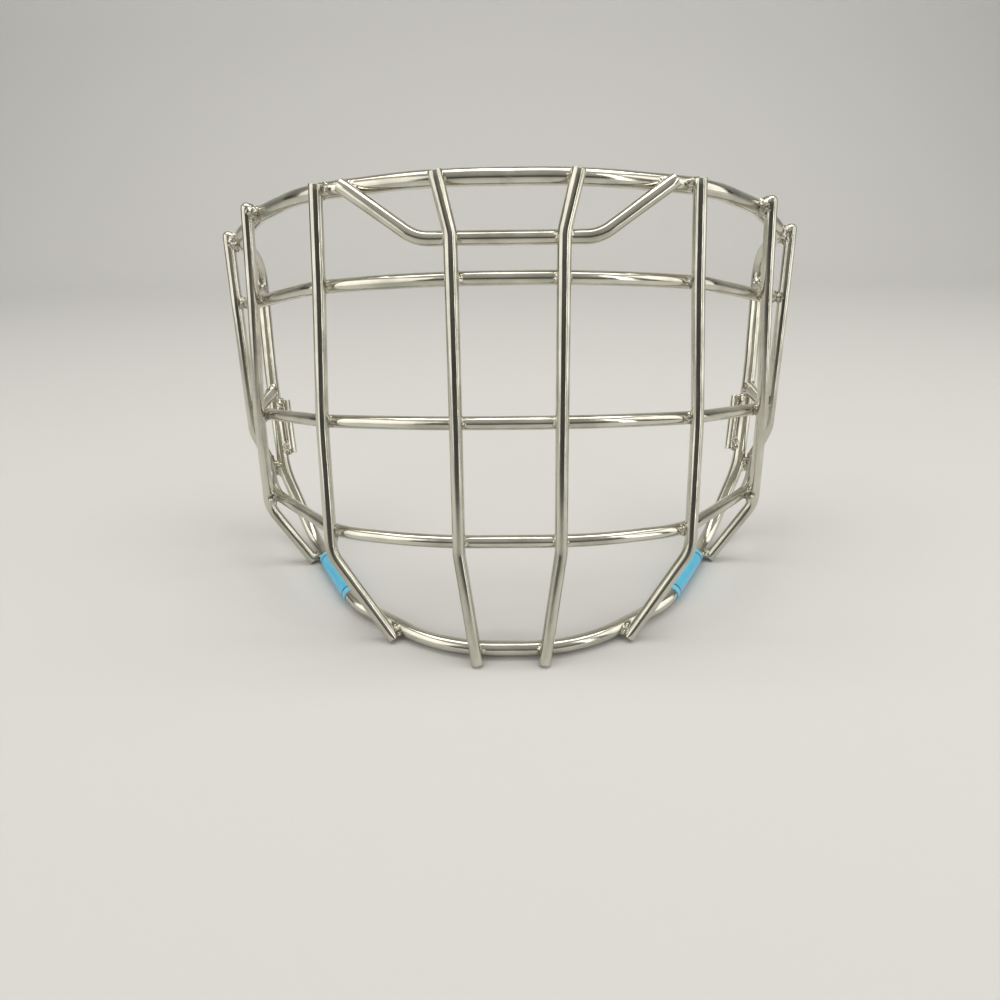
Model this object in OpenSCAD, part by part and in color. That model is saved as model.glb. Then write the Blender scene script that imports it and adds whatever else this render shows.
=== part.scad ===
// Wire face cage of an ice hockey goalie mask, standing on its chin.
// Every bar is one round wire, bent in straight runs and arcs, and welded where it crosses another.
// X runs to the right seen from the front, Y to the rear, Z up, and the floor is at Z = 0.

/* [Wires] */
// Diameter of the upright wires
upright_d = 4.8; // [4.2:0.1:5.4]
// Diameter of the three cross bars
cross_d = 5; // [4.4:0.1:5.6]
// Diameter of the brow bar
brow_d = 5; // [4.4:0.1:5.6]
// Diameter of the perimeter wire
rim_d = 5.8; // [5.2:0.1:6.4]
// Diameter of the side clip wires
clip_d = 4; // [3.4:0.1:4.6]
// Film of weld metal between two wires that cross
weld_film = 0.1; // [0.06:0.01:0.2]

/* [Top rim] */
// Height of the rim's centre line at the front
rim_height = 166.5; // [162:0.5:171]
// Distance of the rim's front behind the front of the chin rim
rim_setback = 34.5; // [31:0.5:38]
// Half width of the flat front of the rim
rim_front_x = 24; // [18:1:30]
// Half width at the forehead bend
rim_forehead_x = 70; // [66:1:74]
// Depth of the forehead bend behind the rim's front
rim_forehead_y = 17.5; // [14:0.5:21]
// Fall of the rim from its front to the forehead bend
rim_forehead_drop = 5.5; // [3.5:0.5:8]
// Half width at the bend by the cheek bar
rim_cheek_x = 98.5; // [96:0.5:101]
// Depth of that bend behind the rim's front
rim_cheek_y = 53.5; // [50:0.5:57]
// Fall of the rim from its front to that bend
rim_cheek_drop = 16; // [13.5:0.5:18.5]
// Half width at the temple bend
rim_temple_x = 115.5; // [114:0.5:117]
// Depth of the temple bend behind the rim's front
rim_temple_y = 73.5; // [70:0.5:77]
// Fall of the rim from its front to the temple bend
rim_temple_drop = 28; // [25.5:0.5:30.5]
// Half width at the rear corner
corner_x = 118.5; // [116:0.5:121]
// Depth of the rear corner behind the rim's front
corner_y = 106; // [100:1:112]
// Fall of the rim from its front to the rear corner
corner_drop = 43.5; // [39.5:0.5:47.5]
// Bend radius at the sides of the flat front
rim_front_r = 90; // [60:5:100]
// Bend radius at the forehead
rim_forehead_r = 60; // [40:5:70]
// Bend radius by the cheek bar
rim_cheek_r = 60; // [30:5:80]
// Bend radius at the temple
rim_temple_r = 28; // [18:2:40]
// Bend radius at the rear corner
corner_r = 12; // [9:1:16]

/* [Side and chin of the perimeter] */
// Half width at the bend behind the middle bar
side_x = 114.5; // [113:0.5:116]
// Depth of that bend behind the front of the chin rim
side_y = 119; // [115:1:123]
// Height of that bend
side_z = 76; // [72:1:80]
// Half width at the jaw bend
jaw_x = 109; // [106.5:0.5:110]
// Depth of the jaw bend behind the front of the chin rim
jaw_y = 100; // [96:1:104]
// Height of the jaw bend
jaw_z = 33; // [28:1:38]
// Half width where the wire comes down to the floor
chin_rear_x = 93.5; // [91:0.5:96]
// Depth where the wire comes down to the floor
chin_rear_y = 82.5; // [80:0.5:85]
// Half width at the side bend of the chin
chin_side_x = 64; // [60:1:68]
// Depth of the side bend behind the front of the chin rim
chin_side_y = 29.5; // [26:0.5:33]
// Half width of the flat front of the chin
chin_front_x = 26; // [20:1:30]
// Bend radius behind the middle bar
side_r = 150; // [80:10:200]
// Bend radius at the jaw
jaw_r = 40; // [25:1:50]
// Bend radius where the wire comes down to the floor
chin_rear_r = 24; // [16:1:30]
// Bend radius at the side of the chin
chin_side_r = 36; // [24:1:40]
// Bend radius at the front of the chin
chin_front_r = 60; // [40:1:70]

/* [Brow bar] */
// Share of the way from the upper cross bar to the rim at which the brow bar's straight middle lies
brow_share = 0.4; // [0.34:0.01:0.46]
// Half length of the straight middle
brow_half = 30.5; // [27:0.5:34]
// Half width where the ends meet the rim
brow_end_x = 53.5; // [50:0.5:57]
// Length of each end past the centre of the rim
brow_overhang = 2.8; // [2.4:0.2:4.4]
// Bend radius of the brow bar
brow_r = 14; // [8:1:20]

/* [Upper cross bar] */
// Share of the way from the middle bar to the rim at which the bar lies in front
upper_share = 0.61; // [0.57:0.01:0.65]
// Distance of the bar's front behind the front of the chin rim
upper_setback = 29.5; // [27:0.5:32]
// Slope of the bar, falling to the rear
upper_slope = 0.33; // [0.29:0.01:0.37]
// Half width at the cheek bend
upper_cheek_x = 70; // [67:1:73]
// Depth of the cheek bend behind the bar's front
upper_cheek_y = 18.5; // [15:0.5:22]
// Half width at the temple bend
upper_temple_x = 115; // [113:0.5:117]
// Depth of the temple bend behind the bar's front
upper_temple_y = 72; // [68:1:76]
// Height of the bar's front over its end on the perimeter
upper_end_drop = 24.5; // [20.5:0.5:28.5]

/* [Middle cross bar] */
// Share of the way from the lower bar to the rim at which the bar lies in front
middle_share = 0.351; // [0.331:0.005:0.381]
// Distance of the bar's front behind the front of the chin rim
middle_setback = 20.5; // [18:0.5:23]
// Slope of the bar, falling to the rear
middle_slope = 0.3; // [0.28:0.005:0.32]
// Half width at the cheek bend
middle_cheek_x = 70; // [67:1:73]
// Depth of the cheek bend behind the bar's front
middle_cheek_y = 17; // [14:0.5:20]
// Half width at the temple bend
middle_temple_x = 115.5; // [114:0.5:117]
// Depth of the temple bend behind the bar's front
middle_temple_y = 72; // [68:1:76]
// Height of the bar's front over its end on the perimeter
middle_end_drop = 19.5; // [17:0.5:22]

/* [Lower cross bar] */
// Height of the bar at the front
lower_height = 44; // [41:0.5:47]
// Distance of the bar's front behind the front of the chin rim
lower_setback = 11; // [9:0.5:13]
// Slope of the bar, falling to the rear
lower_slope = 0.2; // [0.18:0.005:0.22]
// Half width at the cheek bend
lower_cheek_x = 67; // [64:1:70]
// Depth of the cheek bend behind the bar's front
lower_cheek_y = 12.5; // [10:0.5:15]
// Half width at the tail bend
lower_tail_x = 109; // [106:0.5:112]
// Depth of the tail bend behind the bar's front
lower_tail_y = 70; // [66:1:74]
// Share of the temple bar's shin below the end of the lower bar
lower_end_share = 0.42; // [0.3:0.02:0.6]

/* [Bends of the cross bars] */
// Half width of the flat front of the cross bars
cross_front_x = 29; // [24:1:34]
// Bend radius beside the flat front
cross_front_r = 110; // [80:5:130]
// Bend radius at the cheek
cross_cheek_r = 36; // [24:1:45]
// Bend radius at the temple
cross_temple_r = 24; // [16:1:30]

/* [Inner bars] */
// Half distance between the inner bars at the rim
inner_top_x = 22.6; // [20:0.2:26]
// Half distance between the inner bars from the brow to the lower bar
inner_body_x = 18.6; // [17:0.2:21]
// Half distance between the feet of the inner bars
inner_foot_x = 13.2; // [11:0.2:16]
// Length of the inner bar between the lower bar and its knee
inner_drop = 3; // [2:0.5:6]

/* [Outer bars] */
// Half distance between the outer bars at the rim
outer_top_x = 65; // [62:0.5:68]
// Half distance between the outer bars at the middle bar
outer_middle_x = 69.6; // [67:0.2:72]
// Half distance between the outer bars at the lower bar
outer_low_x = 69; // [66:0.5:72]
// Half distance between the feet of the outer bars
outer_foot_x = 46.8; // [44:0.2:50]
// Length of the outer bar between the lower bar and its leg bend
outer_drop = 7.5; // [6:0.5:10]

/* [Cheek bars] */
// Half distance between the cheek bars at the rim
cheek_top_x = 102.4; // [100:0.2:105]
// Half distance between the cheek bars at the middle bar
cheek_middle_x = 108.2; // [106:0.2:110]
// Half distance between the cheek bars at the lower bar
cheek_low_x = 109; // [107:0.2:112]
// Half distance between the feet of the cheek bars
cheek_foot_x = 91; // [90.4:0.2:93]
// Length of the cheek bar between the lower bar and its knee
cheek_drop = 4.5; // [3:0.5:7]

/* [Temple bars] */
// Depth of the temple bars at the rim, behind the front of the chin rim
temple_top_y = 110; // [106:1:114]
// Depth of the temple bars at the middle bar
temple_mid_y = 98.5; // [96:0.5:101]
// Share of the way from the middle bar to the rim at which the bar crosses the upper bar
temple_upper_share = 0.54; // [0.5:0.02:0.56]
// Height of the bend above the temple bar's foot
temple_bend_rise = 21; // [17:1:25]
// Height of the temple bar's foot on the perimeter
temple_foot_z = 33; // [30:1:36]

/* [Bends of the uprights] */
// Rearward lean of the uprights per millimetre of height
lean = 0.2; // [0.16:0.01:0.24]
// Bend radius of the legs
leg_r = 14; // [8:1:18]
// Bend radius where an upright lies on a cross bar
easy_r = 120; // [60:10:160]
// Length of an upright past the centre of the rim
rim_overhang = 1.8; // [1.6:0.1:3]

/* [Side clip wires] */
// Height of the upper end
clip_top_z = 63; // [60:1:66]
// Height of the lower end
clip_low_z = 40; // [40:1:45]
// Film of weld metal between a clip wire and the perimeter
clip_film = 0.3; // [0.2:0.05:0.5]
// Distance of the welds from the ends of a clip wire
clip_weld_inset = 2.5; // [1.5:0.5:4]

/* [Sleeves] */
// Outer diameter of the sleeve on the perimeter wire
sleeve_d = 7; // [6.7:0.1:7.6]
// Length of the sleeve
sleeve_len = 35.5; // [30:0.5:36.5]
// Distance from the side bend of the chin to the sleeve
sleeve_start = 7; // [7:0.2:8]

/* [Welds] */
// Diameter of the weld bead at a crossing of two wires
bead_d = 6.4; // [5.8:0.1:7]
// Diameter of the weld bead at a wire's end
end_bead_d = 7.4; // [6.8:0.1:8]

/* [Hidden] */
$fn = 48;

// A straight run is this much thinner than an arc, and reaches this far into it, so the two overlap cleanly.
seam = 0.02;
seam_run = 0.3;
// A corner that turns less than this has no arc.
least_turn = 1.5;
// Angle between the points by which an arc is followed.
arc_step = 3;
// How far a cut runs past the piece from which it is taken.
past = 1;
wire_colour = "silver";
weld_colour = "gainsboro";
sleeve_colour = "deepskyblue";

function unit(v) = v / norm(v);
function flip(p) = [-p[0], p[1], p[2]];
function reversed(list) = [for (i = [len(list) - 1:-1:0]) list[i]];
function without_first(list) = [for (i = [1:len(list) - 1]) list[i]];
function between(a, b, t) = a + (b - a) * t;

// The turn of a path at p, coming from a and going to b, and the side to which it turns.
function turn_at(a, p, b) = acos(min(1, max(-1, unit(p - a) * unit(b - p))));
function inward_at(a, p, b) = let (u = unit(p - a), v = unit(b - p)) unit(v - u * (u * v));
function tangent_len(a, p, b, r) = let (turn = turn_at(a, p, b)) turn < least_turn ? 0 : r * tan(turn / 2);

// Points along a path whose corners are rounded.
function arc_points(a, p, b, r) = let (
    turn = turn_at(a, p, b),
    u = unit(p - a),
    start = p - u * r * tan(turn / 2),
    inward = inward_at(a, p, b),
    n = ceil(turn / arc_step))
    [for (i = [0:n]) start + u * r * sin(turn * i / n) + inward * r * (1 - cos(turn * i / n))];
function centre_line(pts, radii) = [for (i = [0:len(pts) - 1])
    each (i == 0 || i == len(pts) - 1 || turn_at(pts[i - 1], pts[i], pts[i + 1]) < least_turn)
        ? [pts[i]]
        : arc_points(pts[i - 1], pts[i], pts[i + 1], radii[i])];

// A seat is where a second wire crosses a path in direction u. It is one list of nine numbers: a
// point on the second wire's axis, the direction from the path to it, and the path's own direction.
function seats(path, u, gap) = [for (i = [0:len(path) - 2])
    let (t = unit(path[i + 1] - path[i]), n = unit(cross(t, u)))
    each [concat(path[i] + n * gap, n, t), concat(path[i + 1] + n * gap, n, t)]];
function spot(seat) = [seat[0], seat[1], seat[2]];
function facing(seat) = unit([seat[3], seat[4], seat[5]]);
function along(seat) = unit([seat[6], seat[7], seat[8]]);

// The first point of a path, or seat along it, at which one coordinate passes a value.
function crossing(path, axis, value, i = 0) =
    let (a = path[i][axis], b = path[i + 1][axis])
    (i + 2 >= len(path) || ((a - value) * (b - value) <= 0 && a != b))
        ? between(path[i], path[i + 1], (value - a) / (b - a))
        : crossing(path, axis, value, i + 1);
function at_x(path, x) = crossing(path, 0, x);
function at_y(path, y) = crossing(path, 1, y);
function at_z(path, z) = crossing(path, 2, z);

// Perimeter wire, right half: corners from the flat front of the rim round to that of the chin.
// The sleeves stand on the floor and lift the chin rim a little.
chin_z = sleeve_d / 2;
function rim_point(x, y, drop) = [x, rim_setback + y, rim_height - drop];
rim_centre = rim_point(0, 0, 0);
jaw = [jaw_x, jaw_y, jaw_z];
chin_rear = [chin_rear_x, chin_rear_y, chin_z];
chin_side = [chin_side_x, chin_side_y, chin_z];
perimeter_half = [rim_point(rim_front_x, 0, 0),
    rim_point(rim_forehead_x, rim_forehead_y, rim_forehead_drop),
    rim_point(rim_cheek_x, rim_cheek_y, rim_cheek_drop),
    rim_point(rim_temple_x, rim_temple_y, rim_temple_drop),
    rim_point(corner_x, corner_y, corner_drop),
    [side_x, side_y, side_z], jaw, chin_rear, chin_side, [chin_front_x, 0, chin_z]];
perimeter_radii = [rim_front_r, rim_forehead_r, rim_cheek_r, rim_temple_r, corner_r, side_r, jaw_r,
    chin_rear_r, chin_side_r, chin_front_r];
rim_line = centre_line(concat([rim_centre], perimeter_half, [[0, 0, chin_z]]),
    concat([0], perimeter_radii, [0]));
chin_line = reversed(rim_line);

// Cross bars, right half: each lies in its own plane, which falls to the rear.
middle_height = between(lower_height, rim_height, middle_share);
upper_height = between(middle_height, rim_height, upper_share);
brow_height = between(upper_height, rim_height, brow_share);
function on_slope(x, y, setback, height, slope) = [x, setback + y, height - slope * y];
function upper_point(x, y) = on_slope(x, y, upper_setback, upper_height, upper_slope);
function middle_point(x, y) = on_slope(x, y, middle_setback, middle_height, middle_slope);
function lower_point(x, y) = on_slope(x, y, lower_setback, lower_height, lower_slope);
// The upper and the middle bar end against the front of the perimeter's side.
side_stand_off = [0, rim_d / 2 + weld_film, 0];
upper_stop = at_z(seats(chin_line, [0, 1, 0], 0), upper_height - upper_end_drop);
middle_stop = at_z(seats(chin_line, [0, 1, 0], 0), middle_height - middle_end_drop);
upper_half = [upper_point(0, 0), upper_point(cross_front_x, 0),
    upper_point(upper_cheek_x, upper_cheek_y), upper_point(upper_temple_x, upper_temple_y),
    spot(upper_stop) - side_stand_off];
middle_half = [middle_point(0, 0), middle_point(cross_front_x, 0),
    middle_point(middle_cheek_x, middle_cheek_y), middle_point(middle_temple_x, middle_temple_y),
    spot(middle_stop) - side_stand_off];
cross_radii = [0, cross_front_r, cross_cheek_r, cross_temple_r, 0];
upper_line = centre_line(upper_half, cross_radii);
middle_line = centre_line(middle_half, cross_radii);

// Distance between the axes of an upright and of the wire behind it.
across = (upright_d + cross_d) / 2 + weld_film;
across_rim = (upright_d + rim_d) / 2 + weld_film;
up = unit([0, lean, 1]);

// Temple bar: it hangs from the rim outside the upper and the middle bar.
// Its foot turns in to the perimeter.
temple_rim = at_y(seats(rim_line, up, across_rim), temple_top_y);
temple_upper_y = between(temple_mid_y, temple_top_y, temple_upper_share);
temple_upper = at_y(seats(upper_line, up, across), temple_upper_y);
temple_middle = at_y(seats(middle_line, up, across), temple_mid_y);
temple_knee = let (a = spot(temple_upper), b = spot(temple_middle))
    between(a, b, (a[2] - temple_foot_z - temple_bend_rise) / (a[2] - b[2]));
temple_foot = let (
    near = at_z(seats(chin_line, temple_knee - at_z(chin_line, temple_foot_z), across_rim), temple_foot_z))
    at_z(seats(chin_line, temple_knee - spot(near), across_rim), temple_foot_z);
temple_tail = spot(temple_foot) + unit(spot(temple_foot) - temple_knee) * rim_overhang;
temple_pts = [spot(temple_rim) + unit(spot(temple_rim) - spot(temple_upper)) * rim_overhang,
    spot(temple_upper), temple_knee, temple_tail];
temple_radii = [0, easy_r, leg_r, 0];

// Lower cross bar: its tails end against the shins of the temple bars.
lower_tail = lower_point(lower_tail_x, lower_tail_y);
lower_stop = between(spot(temple_foot), temple_knee, lower_end_share);
lower_half = [lower_point(0, 0), lower_point(cross_front_x, 0), lower_point(lower_cheek_x, lower_cheek_y),
    lower_tail, lower_stop - unit(lower_stop - lower_tail) * (upright_d / 2 + weld_film)];
lower_line = centre_line(lower_half, cross_radii);

// The other uprights: seats on the rim and the cross bars, a knee below the lower bar, a foot on the floor.
function body_seats(rim_x, upper_x, middle_x, low_x) = [
    at_x(seats(rim_line, up, across_rim), rim_x),
    at_x(seats(upper_line, up, across), upper_x),
    at_x(seats(middle_line, up, across), middle_x),
    at_x(seats(lower_line, up, across), low_x)];
function knee(body, drop) = let (a = spot(body[2]), b = spot(body[3])) b + unit(b - a) * drop;
function foot_seat(knee, foot_x) = let (
    near = at_x(seats(chin_line, knee - at_x(chin_line, foot_x), across_rim), foot_x))
    at_x(seats(chin_line, knee - spot(near), across_rim), foot_x);
// The flat end of a foot touches the floor with its lowest edge.
function foot_end(knee, foot) = let (
    u = unit(knee - spot(foot)),
    stand = upright_d / 2 * sqrt(1 - u[2] * u[2]))
    spot(foot) - u * (spot(foot)[2] - stand) / u[2];
function rim_end(body) = spot(body[0]) + unit(spot(body[0]) - spot(body[1])) * rim_overhang;

inner_seats = body_seats(inner_top_x, inner_body_x, inner_body_x, inner_body_x);
inner_knee = knee(inner_seats, inner_drop);
inner_foot = foot_seat(inner_knee, inner_foot_x);
inner_brow = let (a = spot(inner_seats[1]), b = spot(inner_seats[0]), z = brow_height + brow_d / 2)
    [inner_body_x, between(a, b, (z - a[2]) / (b[2] - a[2]))[1], z];
inner_top = spot(inner_seats[0]) + unit(spot(inner_seats[0]) - inner_brow) * rim_overhang;
inner_pts = concat([inner_top, inner_brow], [for (i = [1:3]) spot(inner_seats[i])],
    [inner_knee, foot_end(inner_knee, inner_foot)]);
inner_radii = [0, leg_r, easy_r, easy_r, easy_r, leg_r, 0];

outer_upper_x = between(outer_middle_x, outer_top_x, upper_share);
outer_seats = body_seats(outer_top_x, outer_upper_x, outer_middle_x, outer_low_x);
outer_knee = knee(outer_seats, outer_drop);
outer_foot = foot_seat(outer_knee, outer_foot_x);
outer_pts = concat([rim_end(outer_seats)], [for (i = [1:3]) spot(outer_seats[i])],
    [outer_knee, foot_end(outer_knee, outer_foot)]);

cheek_upper_x = between(cheek_middle_x, cheek_top_x, upper_share);
cheek_seats = body_seats(cheek_top_x, cheek_upper_x, cheek_middle_x, cheek_low_x);
cheek_knee = knee(cheek_seats, cheek_drop);
cheek_foot = foot_seat(cheek_knee, cheek_foot_x);
cheek_pts = concat([rim_end(cheek_seats)], [for (i = [1:3]) spot(cheek_seats[i])],
    [cheek_knee, foot_end(cheek_knee, cheek_foot)]);
upright_radii = [0, easy_r, easy_r, easy_r, leg_r, 0];

// Brow bar: its middle lies behind the inner bars, and its ends rise to the front of the rim.
brow_y = inner_brow[1] + (upright_d + brow_d) / 2 + weld_film;
brow_corner = [brow_half, brow_y, brow_height];
brow_seat = let (
    gap = (rim_d + brow_d) / 2 + weld_film,
    near = at_x(seats(rim_line, at_x(rim_line, brow_end_x) - brow_corner, gap), brow_end_x))
    at_x(seats(rim_line, spot(near) - brow_corner, gap), brow_end_x);
brow_half_pts = [brow_corner, spot(brow_seat) + unit(spot(brow_seat) - brow_corner) * brow_overhang];

// The deepest and foremost points set the middle of the depth, which is Y = 0 of the finished cage.
front_y = let (u = unit(inner_knee - spot(inner_foot)))
    foot_end(inner_knee, inner_foot)[1] - upright_d / 2 * sqrt(1 - u[1] * u[1]);
rear_y = max([for (p = rim_line) p[1]]) + rim_d / 2;
mid_depth = (front_y + rear_y) / 2;

module centred() {
    translate([0, -mid_depth, 0]) children();
}
module on_side(side) {
    if (side == "left") mirror([1, 0, 0]) children();
    else children();
}
module on_both_sides() {
    children();
    mirror([1, 0, 0]) children();
}

// Coordinate frame at p with its X along u and its Z along w.
function frame_at(p, u, w) = let (v = cross(w, u))
    [[u[0], v[0], w[0], p[0]], [u[1], v[1], w[1], p[1]], [u[2], v[2], w[2], p[2]], [0, 0, 0, 1]];
function square_to(w) = unit(cross(abs(w[2]) < 0.9 ? [0, 0, 1] : [1, 0, 0], w));

module rod(a, b, d) {
    along = unit(b - a);
    multmatrix(frame_at(a, square_to(along), along)) cylinder(h = norm(b - a), d = d);
}
module arc(a, p, b, r, d) {
    u = unit(p - a);
    inward = inward_at(a, p, b);
    centre = p - u * tangent_len(a, p, b, r) + inward * r;
    multmatrix(frame_at(centre, -inward, cross(u, inward)))
        rotate_extrude(angle = turn_at(a, p, b)) translate([r, 0]) circle(d = d);
}
module straight_run(a, b, cut_a, cut_b, reach_a, reach_b, d) {
    u = unit(b - a);
    rod(a + u * (cut_a - reach_a), b - u * (cut_b - reach_b), d);
}
// An open wire through pts.
module wire(pts, radii, d) {
    last = len(pts) - 1;
    cut = [for (i = [0:last])
        (i == 0 || i == last) ? 0 : tangent_len(pts[i - 1], pts[i], pts[i + 1], radii[i])];
    reach = [for (i = [0:last]) (i == 0 || i == last) ? 0 : seam_run];
    for (i = [0:last - 1])
        straight_run(pts[i], pts[i + 1], cut[i], cut[i + 1], reach[i], reach[i + 1], d - seam * (1 + i % 2));
    for (i = [1:last - 1])
        if (cut[i] > 0) arc(pts[i - 1], pts[i], pts[i + 1], radii[i], d);
}
// A closed wire through pts.
module wire_ring(pts, radii, d) {
    n = len(pts);
    cut = [for (i = [0:n - 1]) tangent_len(pts[(i + n - 1) % n], pts[i], pts[(i + 1) % n], radii[i])];
    for (i = [0:n - 1]) {
        next = (i + 1) % n;
        straight_run(pts[i], pts[next], cut[i], cut[next], seam_run, seam_run, d - seam * (1 + i % 2));
        if (cut[i] > 0) arc(pts[(i + n - 1) % n], pts[i], pts[next], radii[i], d);
    }
}
// A wire that is the same on both sides, given from the middle outwards.
module even_wire(half, radii, d) {
    out = without_first(half);
    wire(concat([for (p = reversed(out)) flip(p)], out),
        concat(reversed(without_first(radii)), without_first(radii)), d);
}
// A ball on the end at p of a wire that comes from a, with a stub inside the wire.
module rounded_end(a, p, d) {
    w = unit(p - a);
    r = d / 2 - 2 * seam;
    multmatrix(frame_at(p - w * r, square_to(w), w)) rotate_extrude() union() {
        square(r);
        translate([0, r]) intersection() {
            circle(r = r);
            square(r);
        }
    }
}

module perimeter_wire() wire_ring(concat(perimeter_half, [for (p = reversed(perimeter_half)) flip(p)]),
    concat(perimeter_radii, reversed(perimeter_radii)), rim_d);
module brow_wire() wire(concat([for (p = reversed(brow_half_pts)) flip(p)], brow_half_pts),
    [0, brow_r, brow_r, 0], brow_d);
module upper_wire() even_wire(upper_half, cross_radii, cross_d);
module middle_wire() even_wire(middle_half, cross_radii, cross_d);
module lower_wire() even_wire(lower_half, cross_radii, cross_d);
module inner_wire() wire(inner_pts, inner_radii, upright_d);
module outer_wire() wire(outer_pts, upright_radii, upright_d);
module cheek_wire() {
    wire(cheek_pts, upright_radii, upright_d);
    rounded_end(cheek_pts[1], cheek_pts[0], upright_d);
}
module temple_wire() {
    wire(temple_pts, temple_radii, upright_d);
    rounded_end(temple_pts[1], temple_pts[0], upright_d);
}

module perimeter_frame() color(wire_colour) centred() perimeter_wire();
module brow_bar() color(wire_colour) centred() brow_wire();
module upper_cross_bar() color(wire_colour) centred() upper_wire();
module middle_cross_bar() color(wire_colour) centred() middle_wire();
module lower_cross_bar() color(wire_colour) centred() lower_wire();
module inner_bar(side) color(wire_colour) centred() on_side(side) inner_wire();
module outer_bar(side) color(wire_colour) centred() on_side(side) outer_wire();
module cheek_bar(side) color(wire_colour) centred() on_side(side) cheek_wire();
module temple_bar(side) color(wire_colour) centred() on_side(side) temple_wire();

// A clip wire lies along the inner face of the perimeter's side and is welded to it at both ends.
side_way = unit(at_z(chin_line, clip_top_z) - at_z(chin_line, clip_low_z));
side_inward = unit([-1, 0, 0] + side_way * side_way[0]);
clip_gap = (rim_d + clip_d) / 2 + clip_film;
clip_ends = [for (z = [clip_top_z, clip_low_z]) at_z(chin_line, z) + side_inward * clip_gap];
module clip_wire() rod(clip_ends[0], clip_ends[1], clip_d);
module side_clip_wire(side) color(wire_colour) centred() on_side(side) clip_wire();

// A sleeve is a short tube on the straight part of the chin rim.
sleeve_way = unit(chin_rear - chin_side);
sleeve_from = chin_side + sleeve_way * sleeve_start;
module label_sleeve(side) color(sleeve_colour) centred() on_side(side) difference() {
    rod(sleeve_from, sleeve_from + sleeve_way * sleeve_len, sleeve_d);
    rod(sleeve_from - sleeve_way * past, sleeve_from + sleeve_way * (sleeve_len + past), rim_d);
}

// Weld beads: balls of metal round the point of contact, cut to the two wires that they join.
module rod_through(p, way, d) rod(p - way * end_bead_d, p + way * end_bead_d, d);
// A ball with its poles along w, where the wires cut them off, and its seam towards u.
module ball(p, u, w, d) {
    multmatrix(frame_at(p, unit(u - w * (u * w)), w)) sphere(d = d);
}
module bead(seat, way, front_d, rear_d, film = weld_film) {
    difference() {
        ball(spot(seat) - facing(seat) * (front_d + film) / 2, unit(way) + along(seat), facing(seat),
            bead_d);
        rod_through(spot(seat), unit(way), front_d);
        rod_through(spot(seat) - facing(seat) * ((front_d + rear_d) / 2 + film), along(seat), rear_d);
    }
}
// The bead round the flat end of a wire that comes from a and stops at b against another wire.
module end_bead(a, b, d, stop, way, stop_d) {
    difference() {
        ball(b, cross(unit(b - a), way), unit(b - a), end_bead_d);
        rod(b - unit(b - a) * end_bead_d, b, d);
        rod_through(stop, unit(way), stop_d);
    }
}
// Each joint is a seat and the direction of the upright through it.
rim_joints = [[inner_seats[0], inner_pts[0] - inner_pts[1]], [outer_seats[0], outer_pts[0] - outer_pts[1]],
    [cheek_seats[0], cheek_pts[0] - cheek_pts[1]], [temple_rim, temple_pts[0] - temple_pts[1]]];
upper_joints = [[inner_seats[1], inner_pts[1] - inner_pts[3]], [outer_seats[1], outer_pts[0] - outer_pts[2]],
    [cheek_seats[1], cheek_pts[0] - cheek_pts[2]], [temple_upper, temple_pts[0] - temple_pts[2]]];
middle_joints = [[inner_seats[2], inner_pts[2] - inner_pts[4]],
    [outer_seats[2], outer_pts[1] - outer_pts[3]], [cheek_seats[2], cheek_pts[1] - cheek_pts[3]],
    [temple_middle, temple_pts[1] - temple_pts[2]]];
lower_joints = [[inner_seats[3], inner_pts[3] - inner_pts[5]], [outer_seats[3], outer_pts[2] - outer_pts[4]],
    [cheek_seats[3], cheek_pts[2] - cheek_pts[4]]];
chin_joints = [[inner_foot, inner_pts[5] - inner_pts[6]], [outer_foot, outer_pts[4] - outer_pts[5]],
    [cheek_foot, cheek_pts[4] - cheek_pts[5]]];
module joint_beads(joints, rear_d) {
    for (joint = joints) bead(joint[0], joint[1], upright_d, rear_d);
}
brow_inner_seat = concat([inner_body_x, brow_y - (upright_d + brow_d) / 2 - weld_film, brow_height],
    [0, -1, 0], [1, 0, 0]);

module top_rim_welds() color(weld_colour) centred() on_both_sides() joint_beads(rim_joints, rim_d);
module brow_bar_welds() color(weld_colour) centred() on_both_sides() {
    bead(brow_inner_seat, inner_pts[1] - inner_pts[2], upright_d, brow_d);
    bead(brow_seat, brow_half_pts[1] - brow_half_pts[0], brow_d, rim_d);
}
module upper_bar_welds() color(weld_colour) centred() on_both_sides() {
    joint_beads(upper_joints, cross_d);
    end_bead(upper_half[3], upper_half[4], cross_d, spot(upper_stop), along(upper_stop), rim_d);
}
module middle_bar_welds() color(weld_colour) centred() on_both_sides() {
    joint_beads(middle_joints, cross_d);
    end_bead(middle_half[3], middle_half[4], cross_d, spot(middle_stop), along(middle_stop), rim_d);
}
module lower_bar_welds() color(weld_colour) centred() on_both_sides() {
    joint_beads(lower_joints, cross_d);
    end_bead(lower_half[3], lower_half[4], cross_d, lower_stop, temple_knee - temple_tail, upright_d);
}
module chin_rim_welds() color(weld_colour) centred() on_both_sides() difference() {
    joint_beads(chin_joints, rim_d);
    translate([0, -bead_d, -bead_d]) cube([jaw_x, jaw_y, bead_d]);
}
module temple_foot_welds() color(weld_colour) centred() on_both_sides()
    bead(temple_foot, temple_knee - temple_tail, upright_d, rim_d);
module clip_wire_welds() color(weld_colour) centred() on_both_sides() {
    for (z = [clip_top_z - clip_weld_inset, clip_low_z + clip_weld_inset]) {
        clip_seat = concat(at_z(chin_line, z) + side_inward * clip_gap, side_inward, side_way);
        bead(clip_seat, side_way, clip_d, rim_d, clip_film);
    }
}

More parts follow.
